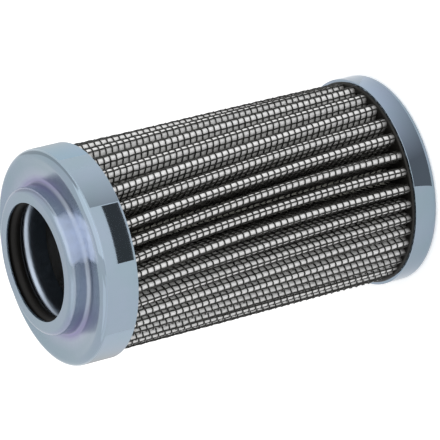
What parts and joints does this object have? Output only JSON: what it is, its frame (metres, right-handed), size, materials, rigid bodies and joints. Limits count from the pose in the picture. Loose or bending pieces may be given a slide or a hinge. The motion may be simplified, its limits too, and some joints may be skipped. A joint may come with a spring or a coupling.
{
  "type": "hydraulic filter element",
  "caption": "Pleated hydraulic filter element: wire-backed glass fibre pack on a perforated core, between drawn steel caps, with a sealed collar at the open end.",
  "frame": {"origin": "centre of the closed cap's flat outer face, which the part stands on", "axes": "+Z along the element's axis, from the closed cap up to the open collar; +Y towards the side seam at the back"},
  "size_m": [0.0474, 0.0474, 0.0878],
  "materials": {
    "zinc_plated_sheet": "bright zinc plate, drawn",
    "seal_rubber": "satin black",
    "guide_steel": "bright, smooth",
    "core_steel": "perforated, dull",
    "coated_wire": "black coated wire cloth",
    "white_fibre": "matt glass fibre and fleece",
    "potting": "cured dark adhesive"
  },
  "bodies": {
    "root": {"open_end_cap": "zinc_plated_sheet", "closed_end_cap": "zinc_plated_sheet", "seal_ring": "seal_rubber", "guide_sleeve": "guide_steel", "core_tube": "core_steel", "outer_wire_cloth": "coated_wire", "cover_fleece": "white_fibre", "coarse_fibre_layer": "white_fibre", "fine_fibre_layer": "white_fibre", "drainage_fleece": "white_fibre", "inner_wire_cloth": "coated_wire", "side_seam": "potting", "open_end_adhesive": "potting", "closed_end_adhesive": "potting"}
  },
  "joints": []
}
